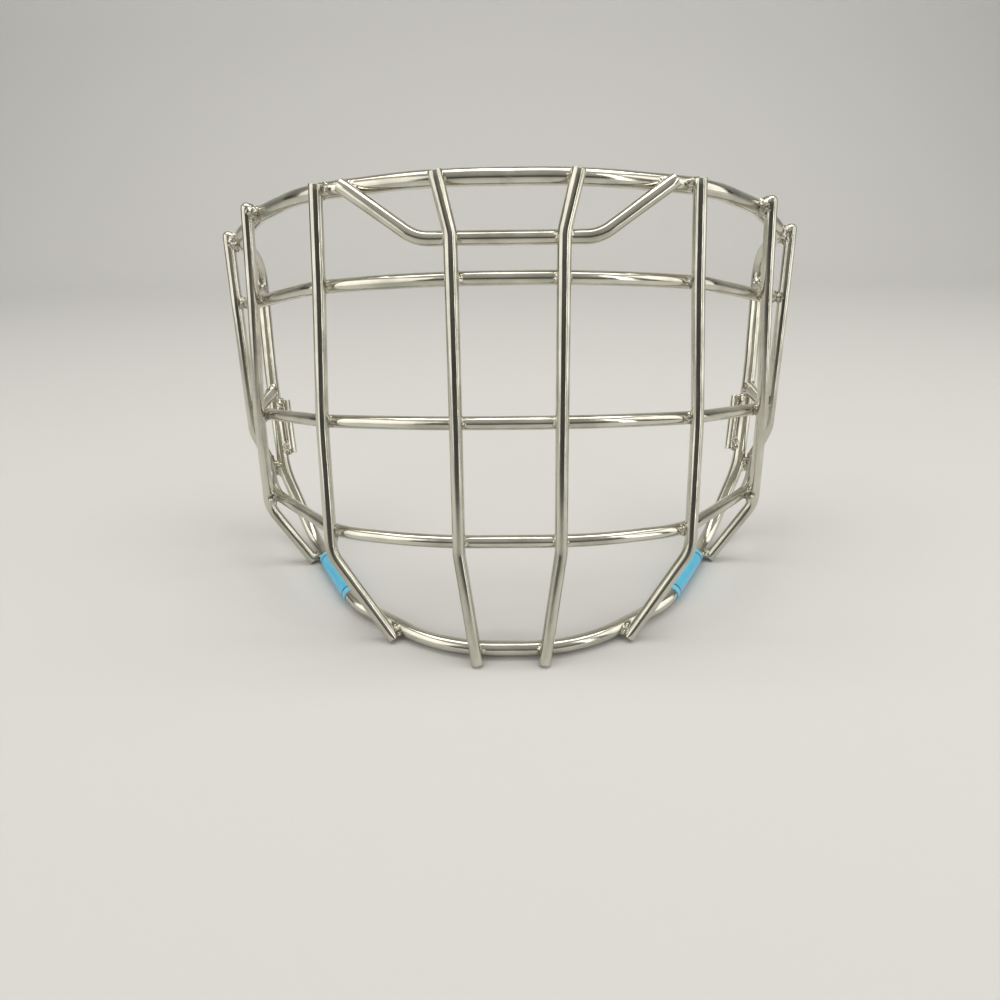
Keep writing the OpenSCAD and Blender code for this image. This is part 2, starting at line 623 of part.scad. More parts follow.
perimeter_frame();
brow_bar();
upper_cross_bar();
middle_cross_bar();
lower_cross_bar();
inner_bar("left");  // inner_bar_left
inner_bar("right");  // inner_bar_right
outer_bar("left");  // outer_bar_left
outer_bar("right");  // outer_bar_right
cheek_bar("left");  // cheek_bar_left
cheek_bar("right");  // cheek_bar_right
temple_bar("left");  // temple_bar_left
temple_bar("right");  // temple_bar_right
side_clip_wire("left");  // side_clip_wire_left
side_clip_wire("right");  // side_clip_wire_right
label_sleeve("left");  // label_sleeve_left
label_sleeve("right");  // label_sleeve_right
top_rim_welds();
brow_bar_welds();
upper_bar_welds();
middle_bar_welds();
lower_bar_welds();
chin_rim_welds();
temple_foot_welds();
clip_wire_welds();
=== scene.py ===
import math

import bmesh
import bpy
import numpy as np
from mathutils import Matrix, Vector, noise


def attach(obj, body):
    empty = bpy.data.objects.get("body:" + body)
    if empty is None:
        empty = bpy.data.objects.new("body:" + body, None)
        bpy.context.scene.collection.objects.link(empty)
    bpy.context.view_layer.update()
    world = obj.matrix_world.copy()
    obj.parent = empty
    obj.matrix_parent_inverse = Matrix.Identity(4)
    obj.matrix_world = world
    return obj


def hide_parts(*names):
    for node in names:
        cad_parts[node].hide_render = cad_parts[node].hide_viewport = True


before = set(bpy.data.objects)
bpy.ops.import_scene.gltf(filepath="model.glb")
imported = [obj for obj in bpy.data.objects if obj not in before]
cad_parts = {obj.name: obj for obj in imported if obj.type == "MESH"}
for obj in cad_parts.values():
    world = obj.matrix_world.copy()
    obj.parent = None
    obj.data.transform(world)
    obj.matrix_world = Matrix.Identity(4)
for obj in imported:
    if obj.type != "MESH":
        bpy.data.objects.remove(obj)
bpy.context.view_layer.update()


# Perimeter wire
# One closed ring of the thickest wire, bent over the forehead, down both cheeks and round the chin.
# Drawn steel with bright plating; every other bar is welded to it or to a bar that is.
MM = 0.001
RIM_WIRE = 5.8
SIDES = 32            # faces round a wire
RING_GAP = 2.5        # mm between two rings of a wire's mesh
BEND_STEP = 3.0       # degrees between two rings in a bend
LEAST_TURN = 1.5      # degrees; a corner that turns less has no bend
SEAM = 0.05           # mm within which the two ends of a closed loft are merged

# Corners of the right half, from the forehead round to the chin, and the radius of the bend at each.
# The rear corner, at 74.81, is 0.02 mm forward of the solid's, so that the rounder wire stays in its box.
PERIMETER_HALF = [(0, -31.17, 166.5), (24, -31.17, 166.5), (70, -13.67, 161), (98.5, 22.33, 150.5),
                  (115.5, 42.33, 138.5), (118.5, 74.81, 123), (114.5, 53.33, 76), (109, 34.33, 33),
                  (93.5, 16.83, 3.5), (64, -36.17, 3.5), (26, -65.67, 3.5), (0, -65.67, 3.5)]
PERIMETER_BENDS = [0, 90, 60, 60, 28, 12, 150, 40, 24, 36, 60, 0]


def flipped(points):
    """The same points on the other side of the cage."""
    return [(-x, y, z) for x, y, z in points]


def centre_line(corners, bends):
    """Points along a bent wire: straight runs, and arcs of the given radii at the corners."""
    corners = [Vector(c) for c in corners]
    stops = [corners[0]]
    for before, at, after, radius in zip(corners, corners[1:], corners[2:], bends[1:]):
        u, v = (at - before).normalized(), (after - at).normalized()
        turn = u.angle(v, 0.0)
        if math.degrees(turn) < LEAST_TURN or radius == 0:
            stops.append(at)
            continue
        inward = (v - u * u.dot(v)).normalized()
        start = at - u * radius * math.tan(turn / 2)
        steps = math.ceil(math.degrees(turn) / BEND_STEP)
        angles = [turn * k / steps for k in range(steps + 1)]
        stops += [start + u * radius * math.sin(a) + inward * radius * (1 - math.cos(a)) for a in angles]
    stops.append(corners[-1])
    line = [stops[0]]
    for a, b in zip(stops, stops[1:]):
        pieces = max(1, math.ceil((b - a).length / RING_GAP))
        line += [a + (b - a) * k / pieces for k in range(1, pieces + 1)]
    return line


def rings_along(line, closed=False):
    """(distance, matrix) for each point of a line: the matrix stands there with its Z along the line."""
    ways = []
    last = len(line) - 1
    for i in range(len(line)):
        ahead = line[1] if closed and i == last else line[min(i + 1, last)]
        behind = line[-2] if closed and i == 0 else line[max(i - 1, 0)]
        ways.append((ahead - behind).normalized())
    side = ways[0].orthogonal().normalized()
    sides = [side]
    for a, b in zip(ways, ways[1:]):
        side = a.rotation_difference(b) @ side
        sides.append((side - b * side.dot(b)).normalized())
    # A ring of wire comes back turned by a little, which is spread over its whole length.
    twist = 0.0
    if closed:
        turned_back = sides[-1].cross(sides[0]).dot(ways[0]) > 0
        twist = sides[-1].angle(sides[0]) * (1 if turned_back else -1)
    lengths = [0.0]
    for a, b in zip(line, line[1:]):
        lengths.append(lengths[-1] + (b - a).length)
    rings = []
    for point, way, side, length in zip(line, ways, sides, lengths):
        side = Matrix.Rotation(twist * length / lengths[-1], 3, way) @ side
        turned = Matrix((side, way.cross(side), way)).transposed().to_4x4()
        rings.append((length, Matrix.Translation(point) @ turned))
    return rings


def moved_on(ring, distance):
    """A ring pushed along its own Z."""
    length, matrix = ring
    return length + distance, matrix @ Matrix.Translation((0, 0, distance))


# Distance past the last point of the wire, and radius there, both in shares of the wire's radius.
CUT_END = ((-0.08, 1.0), (-0.03, 0.985), (0.0, 0.94))    # sheared, with its burr tumbled off
BALL_END = tuple((math.sin(a), math.cos(a)) for a in (0, 0.35, 0.7, 1.0, 1.25, 1.42))    # rounded


def end_rings(ring, outward, shape, radius):
    """Rings that close a wire's end."""
    return [(moved_on(ring, outward * out * radius), radius * share) for out, share in shape]


def loft(name, profile, closed=False):
    """A mesh through circles: profile is a list of (ring, radius), and each circle is extruded from the last.

    Every point keeps where it lies on the straightened wire, in mm, in the attribute on_wire."""
    mesh = bmesh.new()
    on_wire = mesh.verts.layers.float_vector.new("on_wire")

    def placed(item):
        (_, matrix), radius = item
        return matrix @ Matrix.Diagonal((radius, radius, 1, 1))

    def note(points, item):
        (length, matrix), _ = item
        back = matrix.inverted()
        for point in points:
            x, y, z = back @ point.co
            point[on_wire] = (x, y, length + z)

    first = bmesh.ops.create_circle(mesh, segments=SIDES, radius=1, matrix=placed(profile[0]))["verts"]
    note(first, profile[0])
    edges = start = [e for e in mesh.edges]
    for last, item in zip(profile, profile[1:]):
        made = bmesh.ops.extrude_edge_only(mesh, edges=edges)["geom"]
        points = [g for g in made if isinstance(g, bmesh.types.BMVert)]
        edges = [g for g in made if isinstance(g, bmesh.types.BMEdge) and g.is_boundary]
        bmesh.ops.transform(mesh, matrix=placed(item) @ placed(last).inverted(), verts=points)
        note(points, item)
    if closed:
        bmesh.ops.remove_doubles(mesh, verts=mesh.verts, dist=SEAM)
    else:
        for ring in (start, edges):
            bmesh.ops.edgeloop_fill(mesh, edges=ring)
    bmesh.ops.recalc_face_normals(mesh, faces=mesh.faces)
    return finished(name, mesh)


def finished(name, mesh):
    """An object in metres from a bmesh in millimetres."""
    bmesh.ops.scale(mesh, vec=(MM, MM, MM), verts=mesh.verts)
    for face in mesh.faces:
        face.smooth = True
    data = bpy.data.meshes.new(name)
    mesh.to_mesh(data)
    mesh.free()
    piece = bpy.data.objects.new(name, data)
    bpy.context.scene.collection.objects.link(piece)
    return piece


# For the welds, under the name of each wire: its centre line, its radius and what stands past each end.
lines = {}


def bent_wire(name, corners, bends, thickness, ends=(CUT_END, CUT_END), closed=False):
    """A wire of the given thickness; corners, bends and thickness are in mm."""
    line = centre_line(corners, bends)
    rings = rings_along(line, closed)
    radius = thickness / 2
    profile = [(ring, radius) for ring in rings]
    if closed:
        profile[-1] = ((rings[-1][0], rings[0][1]), radius)
    else:
        profile = (end_rings(rings[0], -1, ends[0], radius)[::-1] + profile[1:-1]
                   + end_rings(rings[-1], 1, ends[1], radius))
    lines[name] = (np.array([tuple(p) for p in line]), radius, [shape[-1][0] * radius for shape in ends])
    return loft(name, profile, closed)


def node_tree(material):
    """A material's node tree and its shader."""
    material.use_nodes = True
    tree = material.node_tree
    shader = next(n for n in tree.nodes if n.type == "BSDF_PRINCIPLED")
    return tree, shader


def link(tree, *pairs):
    """Joins each (output, input) of a node tree."""
    for source, target in pairs:
        tree.links.new(source, target)


def plating_group():
    """Marks of plated wire. Value inputs and outputs are small numbers that change over the surface."""
    group = bpy.data.node_groups.new("plating_marks", "ShaderNodeTree")
    sockets = group.interface
    sockets.new_socket("Place", in_out="INPUT", socket_type="NodeSocketVector")
    for name, value in (("Streak Depth", 0.5), ("Ripple Depth", 0.5), ("Haze", 0.5)):
        sockets.new_socket(name, in_out="INPUT", socket_type="NodeSocketFloat").default_value = value
    for name in ("Height", "Haze Mask", "Tint Mask"):
        sockets.new_socket(name, in_out="OUTPUT", socket_type="NodeSocketFloat")
    nodes = group.nodes
    came, goes = nodes.new("NodeGroupInput"), nodes.new("NodeGroupOutput")

    def noise_at(stretch, scale, detail, rough=0.5):
        mapping = nodes.new("ShaderNodeMapping")
        mapping.inputs["Scale"].default_value = stretch
        field = nodes.new("ShaderNodeTexNoise")
        field.inputs["Scale"].default_value = scale
        field.inputs["Detail"].default_value = detail
        field.inputs["Roughness"].default_value = rough
        link(group, (came.outputs["Place"], mapping.inputs["Vector"]),
             (mapping.outputs[0], field.inputs["Vector"]))
        return field.outputs["Fac"]

    def math_of(kind, a, b):
        node = nodes.new("ShaderNodeMath")
        node.operation = kind
        for socket, value in zip(node.inputs, (a, b)):
            if isinstance(value, (int, float)):
                socket.default_value = value
            else:
                link(group, (value, socket))
        return node.outputs[0]

    def band(value, low, high):
        node = nodes.new("ShaderNodeMapRange")
        node.interpolation_type = "SMOOTHSTEP"
        node.inputs["From Min"].default_value, node.inputs["From Max"].default_value = low, high
        link(group, (value, node.inputs["Value"]))
        return node.outputs[0]

    streaks = noise_at((1, 1, 0.03), 5.0, 3)          # draw lines, long along the wire
    ripple = noise_at((1, 1, 0.35), 0.28, 1)          # slow waves left by polishing
    cloud = noise_at((1, 1, 0.4), 0.16, 4)            # where hands have dulled it
    specks = noise_at((1, 1, 0.8), 3.2, 2, 0.6)       # pits and dust
    height = math_of("ADD", math_of("MULTIPLY", streaks, came.outputs["Streak Depth"]),
                     math_of("MULTIPLY", ripple, came.outputs["Ripple Depth"]))
    height = math_of("SUBTRACT", height, math_of("MULTIPLY", band(specks, 0.7, 0.78), 0.25))
    haze = math_of("MULTIPLY", band(cloud, 0.45, 0.75), came.outputs["Haze"])
    haze = math_of("ADD", haze, math_of("MULTIPLY", band(specks, 0.66, 0.76), 0.5))
    link(group, (height, goes.inputs["Height"]), (haze, goes.inputs["Haze Mask"]),
         (band(cloud, 0.35, 0.7), goes.inputs["Tint Mask"]))
    return group


plating_marks = plating_group()
WELD_MARKS = 3.2      # how much finer the marks are on a weld than on a wire


def plated(name, bright, shade, smooth, dull, place, streak, ripple, haze, bump, depth):
    """Nickel-chrome plating: colours run from bright to shade, and roughness from smooth to dull.

    Its marks are placed by the wire's own attribute, or by the object, and depth is their height in mm."""
    material = bpy.data.materials.new(name)
    tree, shader = node_tree(material)
    marks = tree.nodes.new("ShaderNodeGroup")
    marks.node_tree = plating_marks
    if place == "on_wire":
        spot = tree.nodes.new("ShaderNodeAttribute")
        spot.attribute_name = "on_wire"
        at = spot.outputs["Vector"]
    else:
        spot = tree.nodes.new("ShaderNodeTexCoord")
        scale = tree.nodes.new("ShaderNodeMapping")
        scale.inputs["Scale"].default_value = (WELD_MARKS / MM,) * 3
        link(tree, (spot.outputs["Object"], scale.inputs["Vector"]))
        at = scale.outputs[0]
    for socket, value in (("Streak Depth", streak), ("Ripple Depth", ripple), ("Haze", haze)):
        marks.inputs[socket].default_value = value
    colour = tree.nodes.new("ShaderNodeMix")
    colour.data_type = "RGBA"
    colour.inputs["A"].default_value = (*bright, 1)
    colour.inputs["B"].default_value = (*shade, 1)
    gloss = tree.nodes.new("ShaderNodeMapRange")
    gloss.inputs["To Min"].default_value, gloss.inputs["To Max"].default_value = smooth, dull
    relief = tree.nodes.new("ShaderNodeBump")
    relief.inputs["Strength"].default_value = bump
    relief.inputs["Distance"].default_value = depth * MM
    shader.inputs["Metallic"].default_value = 1.0
    link(tree, (at, marks.inputs["Place"]),
         (marks.outputs["Tint Mask"], colour.inputs["Factor"]),
         (colour.outputs["Result"], shader.inputs["Base Color"]),
         (marks.outputs["Haze Mask"], gloss.inputs["Value"]), (gloss.outputs[0], shader.inputs["Roughness"]),
         (marks.outputs["Height"], relief.inputs["Height"]), (relief.outputs[0], shader.inputs["Normal"]))
    return material


bright_wire = plated("bright_plated_wire", bright=(0.66, 0.645, 0.565), shade=(0.46, 0.45, 0.38), smooth=0.12,
                     dull=0.28, place="on_wire", streak=0.35, ripple=0.9, haze=0.6, bump=0.4, depth=0.06)


def plate(piece, node, material=bright_wire):
    """Gives a piece its finish and its body, and hides the CAD node that it stands in for."""
    piece.data.materials.append(material)
    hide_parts(node)
    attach(piece, "root")


perimeter = bent_wire("perimeter_wire", PERIMETER_HALF + flipped(PERIMETER_HALF[-2::-1]),
                      PERIMETER_BENDS + PERIMETER_BENDS[-2::-1], RIM_WIRE, closed=True)
plate(perimeter, "perimeter_frame")


# Cross bars
# Three bars of 5 mm wire that run from one side of the perimeter to the other, behind the uprights.
# The two upper ones stop square against the perimeter; the lowest stops against the temple bars.
CROSS_WIRE = 5.0

# Corners of the right half of each bar, from the middle out, and the radius of the bend at each.
CROSS_BARS = {
    "upper": [(29, -36.17, 135.49), (70, -17.67, 129.39), (115, 35.83, 111.73), (117.48, 66.34, 110.99)],
    "middle": [(29, -45.17, 87), (70, -28.17, 81.9), (115.5, 26.83, 65.4), (113.41, 46.57, 67.5)],
    "lower": [(29, -54.67, 44), (67, -42.17, 41.5), (109, 15.33, 30), (115.45, 31.35, 40.52)],
}
CROSS_BENDS = [110, 36, 24, 0]

for level, half in CROSS_BARS.items():
    bar = bent_wire(f"{level}_cross_wire", flipped(half[::-1]) + half, CROSS_BENDS[::-1] + CROSS_BENDS, CROSS_WIRE)
    plate(bar, f"{level}_cross_bar")


# Brow bar
# A short bar between the forehead and the eyes: straight behind the two inner bars, then bent up
# on each side until its end lies on the front of the perimeter.
BROW_HALF = [(30.5, -32.88, 147.9), (55.78, -25.11, 164.26)]
BROW_BENDS = [14, 0]
brow = bent_wire("brow_wire", flipped(BROW_HALF[::-1]) + BROW_HALF, BROW_BENDS[::-1] + BROW_BENDS, CROSS_WIRE)
plate(brow, "brow_bar")


# Uprights
# Four pairs of thinner bars, welded across the front of all the others. Inner, outer and cheek bars
# are bent in under the lowest cross bar and end on the chin; the temple bars turn in to the jaw.
UPRIGHT_WIRE = 4.8

# Corners of the right bar of each pair, from the top down, and the radius of the bend at each.
# The temple bar's top, at 120.73, is 0.02 mm in from the solid's, for the same reason as the rear corner.
UPRIGHTS = {
    "inner": ([(23.01, -34.89, 168.89), (18.6, -37.88, 150.4), (18.6, -40.18, 136.19), (18.6, -49.42, 87.79),
               (18.6, -59.3, 44.93), (18.6, -59.97, 42), (12.6, -71.58, 0.72)], [0, 14, 120, 120, 120, 14, 0]),
    "outer": ([(64.9, -20.32, 164.43), (66.79, -24.43, 131.06), (69.6, -33.07, 82.96), (69, -44.57, 41.98),
               (68.89, -46.6, 34.76), (46.06, -56.56, 1.44)], [0, 120, 120, 120, 14, 0]),
    "cheek": ([(102.28, 18.7, 152.81), (104.66, 15.84, 117.93), (108.2, 10.23, 70.07), (109, 6.97, 31.79),
               (109.09, 6.59, 27.31), (91.26, 2.57, 1.38)], [0, 120, 120, 120, 14, 0]),
    "temple": ([(120.73, 44.7, 138.97), (119.94, 39.04, 111.97), (119.28, 31.16, 54), (113.63, 35.2, 31.28)],
               [0, 120, 14, 0]),
}
ROUNDED_TOPS = ("cheek", "temple")

for place, (corners, bends) in UPRIGHTS.items():
    top = BALL_END if place in ROUNDED_TOPS else CUT_END
    for side in ("left", "right"):
        bar = bent_wire(f"{place}_wire_{side}", flipped(corners) if side == "left" else corners, bends,
                        UPRIGHT_WIRE, ends=(top, CUT_END))
        plate(bar, f"{place}_bar_{side}")


# Side clip wires
# A straight bit of thin wire inside each side of the perimeter, where the clip of the mask shell hooks on.
# It is welded to the perimeter at both ends.
CLIP_WIRE = 4.0
CLIP_ENDS = [(107.67, 47.83, 63.55), (104.73, 37.67, 40.55)]
for side in ("left", "right"):
    bar = bent_wire(f"clip_wire_{side}", flipped(CLIP_ENDS) if side == "left" else CLIP_ENDS, [0, 0], CLIP_WIRE)
    plate(bar, f"side_clip_wire_{side}")


# Welds
# Two wires that cross are pressed together and fused, so a small fillet of metal runs round the contact.
# The fillets are plated with the wires, and are lumpier and duller than they are.
bead_plating = plated("plated_weld", bright=(0.68, 0.65, 0.57), shade=(0.34, 0.325, 0.265), smooth=0.13,
                      dull=0.36, place="object", streak=0.0, ripple=0.9, haze=0.9, bump=0.7, depth=0.3)
NEARBY = 14.0         # mm of a wire that a weld takes into account
FINE_STEPS = 12       # points on each bit of centre line, where the contact is looked for
PULL = 0.1            # share by which a contact far from the given point counts as worse
LUMP, GRAIN = 1.7, 5.0                   # how fine the large and the small lumps of a fillet are
LUMP_SHARE, GRAIN_SHARE = 0.7, 0.9       # how much they change the blend
REACH_SHARE = 0.25    # how much the large lumps change a fillet's reach
HALVINGS = 14         # steps in the search for a fillet's surface
SUNK = 0.03           # mm that a fillet stays under the blend, so that its edge ends inside the wires
CORE = 0.2            # mm, the least radius of a fillet
OFF_FLOOR = 0.05      # mm, the least height of a fillet
SEED_STEP = 3.1       # how far apart the lumps of two welds are taken


def to_skin(points, line, radius, past):
    """Distance from each point to the skin of a wire, which stops square a little past the ends of its line."""
    best = np.full(len(points), np.inf)
    for a, b in zip(line, line[1:]):
        run = b - a
        t = np.clip((points - a) @ run / (run @ run), 0, 1)
        best = np.minimum(best, np.linalg.norm(points - a - t[:, None] * run, axis=1) - radius)
    for end, before, out in ((line[0], line[1], past[0]), (line[-1], line[-2], past[1])):
        way = (end - before) / np.linalg.norm(end - before)
        best = np.maximum(best, (points - end) @ way - out)
    return best


def contact(one, two, near):
    """The point between two wires, shared out by their radii, where they are nearest close to a given point."""
    near = np.array(near)
    fine, radii = [], []
    for name in (one, two):
        line, radius, _ = lines[name]
        close = np.where(np.linalg.norm(line - near, axis=1) < NEARBY)[0]
        part = line[max(close.min() - 1, 0):close.max() + 2]
        fine.append(np.concatenate([np.linspace(p, q, FINE_STEPS) for p, q in zip(part, part[1:])]))
        radii.append(radius)
    gaps = np.linalg.norm(fine[0][:, None] - fine[1][None], axis=2)
    cost = gaps + PULL * np.linalg.norm(fine[0] - near, axis=1)[:, None]
    i, j = np.unravel_index(cost.argmin(), gaps.shape)
    share = radii[0] / sum(radii)
    return fine[0][i] * (1 - share) + fine[1][j] * share


def fillet(mesh, at, one, two, reach, blend, seed):
    """Adds the fillet between two wires round their contact: a ball drawn in to the blended surface.

    Both reach, how far the fillet may go from the contact, and blend, how softly it runs out, are in mm."""
    near = []
    for name in (one, two):
        line, radius, past = lines[name]
        close = np.where(np.linalg.norm(line - at, axis=1) < NEARBY)[0]
        near.append((line[max(close.min() - 1, 0):close.max() + 2], radius, past))
    points = bmesh.ops.create_icosphere(mesh, subdivisions=4, radius=1)["verts"]
    ways = np.array([tuple(p.co) for p in points])
    lumps = np.array([noise.noise(Vector(w) * LUMP + Vector((seed, 0, 0))) for w in ways])
    grain = np.array([noise.noise(Vector(w) * GRAIN + Vector((0, seed, 0))) for w in ways])
    soft = blend * (1 + LUMP_SHARE * lumps + GRAIN_SHARE * grain)
    low, high = np.zeros(len(ways)), reach * (1 + REACH_SHARE * lumps)
    for _ in range(HALVINGS):
        middle = (low + high) / 2
        spots = at + ways * middle[:, None]
        a, b = (to_skin(spots, *wire) for wire in near)
        overlap = np.maximum(soft - np.abs(a - b), 0) / soft
        inside = np.minimum(a, b) - overlap ** 2 * soft / 4 < -SUNK
        low, high = np.where(inside, middle, low), np.where(inside, high, middle)
    for point, way, out in zip(points, ways, low):
        point.co = Vector(at + way * max(out, CORE))
        point.co.z = max(point.co.z, OFF_FLOOR)


def weld_group(name, node, joints):
    """One piece for a row of welds. Each joint of the right side is (wire, wire, near, reach, blend)."""
    mesh = bmesh.new()
    seed = 0.0
    for side in ("left", "right"):
        for one, two, (x, y, z), reach, blend in joints:
            one, two = (wire.replace("SIDE", side) for wire in (one, two))
            near = (x if side == "right" else -x, y, z)
            seed += SEED_STEP
            fillet(mesh, contact(one, two, near), one, two, reach, blend, seed + len(name))
    plate(finished(name, mesh), node, bead_plating)


rim = "perimeter_wire"
inner, outer, cheek, temple = (f"{place}_wire_SIDE" for place in UPRIGHTS)
upper, middle, lower = (f"{level}_cross_wire" for level in CROSS_BARS)
weld_group("top_rim_fillets", "top_rim_welds", [
    (inner, rim, (22, -33, 167), 3.1, 1.6), (outer, rim, (65, -18, 162), 3.6, 2.2),
    (cheek, rim, (101, 20, 151), 4.4, 3.6), (temple, rim, (119, 45, 137), 4.4, 3.6)])
weld_group("brow_fillets", "brow_bar_welds", [
    (inner, "brow_wire", (19, -35, 148), 3.6, 2.4), ("brow_wire", rim, (54, -24, 163), 3.2, 1.8)])
weld_group("upper_bar_fillets", "upper_bar_welds", [
    (inner, upper, (19, -38, 136), 3.6, 1.9), (outer, upper, (66, -22, 131), 3.6, 1.9),
    (cheek, upper, (103, 17, 118), 3.6, 1.9), (temple, upper, (118, 40, 112), 3.6, 1.9),
    (upper, rim, (117, 68, 111), 4.4, 2.6)])
weld_group("middle_bar_fillets", "middle_bar_welds", [
    (inner, middle, (19, -47, 87), 3.6, 1.9), (outer, middle, (69, -31, 82), 3.6, 1.9),
    (cheek, middle, (106, 12, 70), 3.6, 1.9), (temple, middle, (117, 34, 66), 3.6, 1.9),
    (middle, rim, (113, 49, 67), 4.4, 2.6)])
weld_group("lower_bar_fillets", "lower_bar_welds", [
    (inner, lower, (19, -57, 45), 3.6, 1.9), (outer, lower, (68, -43, 42), 3.6, 1.9),
    (cheek, lower, (107, 8, 31), 3.6, 1.9), (lower, temple, (115, 32, 41), 4.2, 2.4)])
weld_group("chin_fillets", "chin_rim_welds", [
    (inner, rim, (13, -68, 4), 3.2, 2.0), (outer, rim, (46, -54, 3), 3.2, 2.0), (cheek, rim, (89, 4, 2), 3.2, 2.0)])
weld_group("temple_foot_fillets", "temple_foot_welds", [(temple, rim, (112, 35, 33), 3.9, 3.0)])
weld_group("clip_fillets", "clip_wire_welds", [
    ("clip_wire_SIDE", rim, (109, 47, 61), 3.6, 2.6), ("clip_wire_SIDE", rim, (107, 39, 43), 3.6, 2.6)])


# Sleeves
# A thin blue plastic sleeve shrunk on the chin wire on each side. Each is plain, with a darker ring near
# both ends and a paler lip where the film is doubled, its paler colour partly a painted highlight of the wire
# beneath.
SLEEVE_ENDS = [(67.4, -30.05, 3.5), (84.67, 0.97, 3.5)]
RING_IN = 2.9         # mm from the end of a sleeve to its darker ring
RING_HALF = 0.016     # half the ring's width, soft edges included, as a share of the sleeve's length
# The lip's colour is paler than the film's partly as a painted highlight: the wire's shine seen through the film.
FILM_COLOUR, LIP_PAINTED_SHINE_COLOUR, RING_COLOUR = (0.105, 0.54, 0.81, 1), (0.17, 0.60, 0.84, 1), (0.004, 0.12, 0.20, 1)
MOTTLE_SCALE, CREASE_SCALE = 0.35, 1.3   # noise per mm: slow clouding of the film, and its small creases
CREASE_DEPTH = 0.12   # mm

# Distance from the end of a sleeve, and thickness of the film there, in mm; the ring is a shallow crease.
FILM_WALL = [(0, 0.1), (0.05, 0.34), (0.3, 0.5), (0.8, 0.56), (2.4, 0.58), (2.7, 0.52), (3.1, 0.52), (3.4, 0.58),
             (6, 0.6)]
FILM = FILM_WALL[-1][1]
PLAIN_FROM = 9        # mm from the end, where the plain middle starts
PLAIN_RINGS, BORE_RINGS = 9, 8


def blue_film(length):
    """The sleeve's material: film in the middle, a lip at both ends, paler partly as a painted highlight of the
    wire beneath, and a dark ring between them.
    """
    material = bpy.data.materials.new("blue_shrink_film")
    tree, shader = node_tree(material)
    spot = tree.nodes.new("ShaderNodeAttribute")
    spot.attribute_name = "on_wire"
    apart = tree.nodes.new("ShaderNodeSeparateXYZ")
    share = tree.nodes.new("ShaderNodeMath")
    share.operation = "DIVIDE"
    share.inputs[1].default_value = length
    zones = tree.nodes.new("ShaderNodeValToRGB")
    ring = RING_IN / length
    stops = [(ring - RING_HALF, LIP_PAINTED_SHINE_COLOUR), (ring - RING_HALF / 2, RING_COLOUR),
             (ring + RING_HALF / 2, RING_COLOUR), (ring + RING_HALF, FILM_COLOUR)]
    stops += [(1 - at, colour) for at, colour in stops[::-1]]
    ramp = zones.color_ramp
    ramp.elements[0].color, ramp.elements[1].color = LIP_PAINTED_SHINE_COLOUR, LIP_PAINTED_SHINE_COLOUR
    for at, colour in stops:
        ramp.elements.new(at).color = colour
    mottle = tree.nodes.new("ShaderNodeTexNoise")
    mottle.inputs["Scale"].default_value = MOTTLE_SCALE
    mottle.inputs["Detail"].default_value = 4
    worn = tree.nodes.new("ShaderNodeMix")
    worn.data_type, worn.blend_type = "RGBA", "MULTIPLY"
    worn.inputs["Factor"].default_value = 1.0
    shades = tree.nodes.new("ShaderNodeMapRange")
    shades.inputs["To Min"].default_value, shades.inputs["To Max"].default_value = 0.82, 1.1
    gloss = tree.nodes.new("ShaderNodeMapRange")
    gloss.inputs["To Min"].default_value, gloss.inputs["To Max"].default_value = 0.22, 0.42
    creases = tree.nodes.new("ShaderNodeTexNoise")
    creases.inputs["Scale"].default_value = CREASE_SCALE
    creases.inputs["Detail"].default_value = 3
    relief = tree.nodes.new("ShaderNodeBump")
    relief.inputs["Strength"].default_value = 0.35
    relief.inputs["Distance"].default_value = CREASE_DEPTH * MM
    shader.inputs["Coat Weight"].default_value = 0.4
    shader.inputs["Coat Roughness"].default_value = 0.12
    link(tree, (spot.outputs["Vector"], apart.inputs[0]),
         (apart.outputs["Z"], share.inputs[0]), (share.outputs[0], zones.inputs["Fac"]),
         (spot.outputs["Vector"], mottle.inputs["Vector"]), (mottle.outputs["Fac"], shades.inputs["Value"]),
         (zones.outputs["Color"], worn.inputs["A"]), (shades.outputs[0], worn.inputs["B"]),
         (worn.outputs["Result"], shader.inputs["Base Color"]),
         (mottle.outputs["Fac"], gloss.inputs["Value"]), (gloss.outputs[0], shader.inputs["Roughness"]),
         (spot.outputs["Vector"], creases.inputs["Vector"]), (creases.outputs["Fac"], relief.inputs["Height"]),
         (relief.outputs[0], shader.inputs["Normal"]))
    return material


sleeve_length = (Vector(SLEEVE_ENDS[1]) - Vector(SLEEVE_ENDS[0])).length
blue_plastic = blue_film(sleeve_length)
for side in ("left", "right"):
    ends = flipped(SLEEVE_ENDS) if side == "left" else SLEEVE_ENDS
    first = rings_along([Vector(ends[0]), Vector(ends[1])])[0]
    outside = FILM_WALL + [(x, FILM) for x in np.linspace(PLAIN_FROM, sleeve_length - PLAIN_FROM, PLAIN_RINGS)]
    outside += [(sleeve_length - x, thick) for x, thick in FILM_WALL[::-1]]
    profile = [(moved_on(first, x), RIM_WIRE / 2 + thick) for x, thick in outside]
    profile += [(moved_on(first, x), RIM_WIRE / 2) for x in np.linspace(sleeve_length, 0, BORE_RINGS)]
    profile.append(profile[0])
    sleeve = loft(f"blue_sleeve_{side}", profile, closed=True)
    plate(sleeve, f"label_sleeve_{side}", blue_plastic)


# Studio
# A pale sweep of paper, soft lamps overhead, at both sides and on the wall behind, and the photograph's
# camera, which looks down on the cage from close by.
PAPER_COLOUR, PAPER_ROUGHNESS = (0.62, 0.62, 0.61, 1), 0.65
LAMP_COLOUR = (1.0, 0.975, 0.93)


